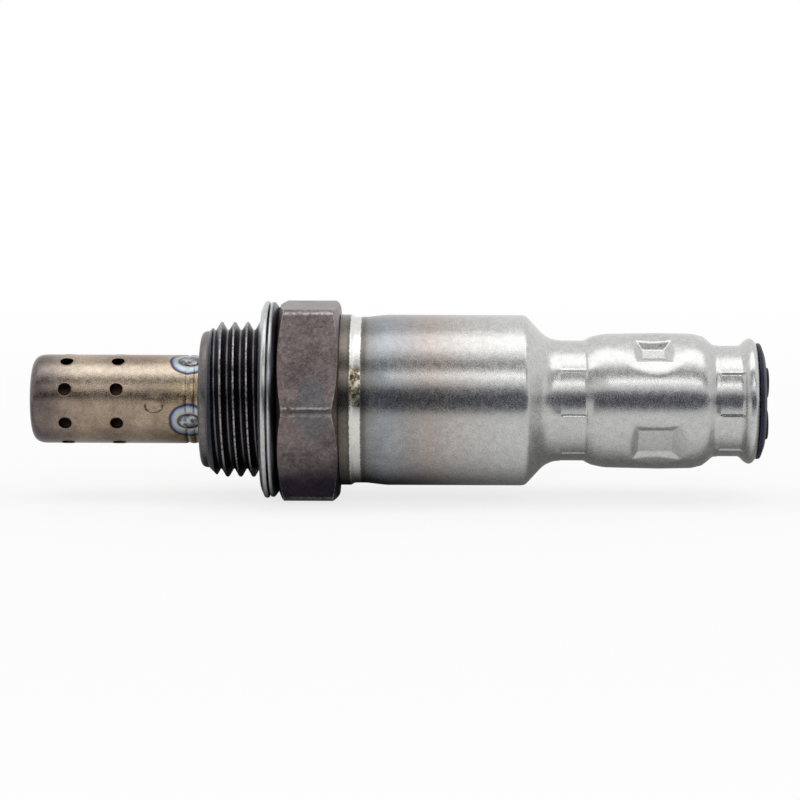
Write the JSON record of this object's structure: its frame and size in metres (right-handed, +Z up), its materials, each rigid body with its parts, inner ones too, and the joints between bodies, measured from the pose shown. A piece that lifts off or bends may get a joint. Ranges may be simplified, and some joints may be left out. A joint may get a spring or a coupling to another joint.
{
  "type": "oxygen sensor",
  "caption": "Heated exhaust oxygen sensor: perforated probe tube, threaded shell with hexagon and folded gasket, drawn steel cover with crimps and pockets, rubber grommet with lead holes.",
  "frame": {"origin": "on the sensor's axis, in the plane of the gasket's sealing face, where the exhaust boss ends", "axes": "+X along the axis towards the cable end, -X towards the probe tip in the exhaust, +Z up with one flat of the hexagon facing down"},
  "size_m": [0.0848, 0.025, 0.0228],
  "materials": {
    "heat_tinted_steel": "satin stainless steel with straw and brown heat tint, purple at the tip",
    "inner_tube_steel": "satin stainless steel",
    "shell_steel": "cold-formed stainless steel, satin, grey-brown",
    "gasket_steel": "bright rolled sheet",
    "cover_steel": "brushed stainless steel, matt on the necks",
    "grommet_rubber": "black fluoroelastomer, slightly glossy",
    "zirconia": "opaque sintered zirconia",
    "packing_steel": "plain stainless steel",
    "talc": "pressed talc powder",
    "ceramic": "opaque white ceramic",
    "heater_ceramic": "opaque white alumina",
    "nickel": "plain nickel sheet"
  },
  "bodies": {
    "root": {"outer_protection_tube": "heat_tinted_steel", "inner_protection_tube": "inner_tube_steel", "housing": "shell_steel", "gasket": "gasket_steel", "cover": "cover_steel", "grommet": "grommet_rubber", "zirconia_thimble": "zirconia", "seat_washer": "packing_steel", "talc_packing": "talc", "spacer_sleeve": "ceramic", "crimp_ring": "packing_steel", "heater_rod": "heater_ceramic", "heater_lead_a": "nickel", "heater_lead_b": "nickel", "heater_terminal_a": "nickel", "heater_terminal_b": "nickel", "signal_contact": "nickel", "ground_contact": "nickel", "separator": "ceramic", "spring_ring": "packing_steel"}
  },
  "joints": []
}
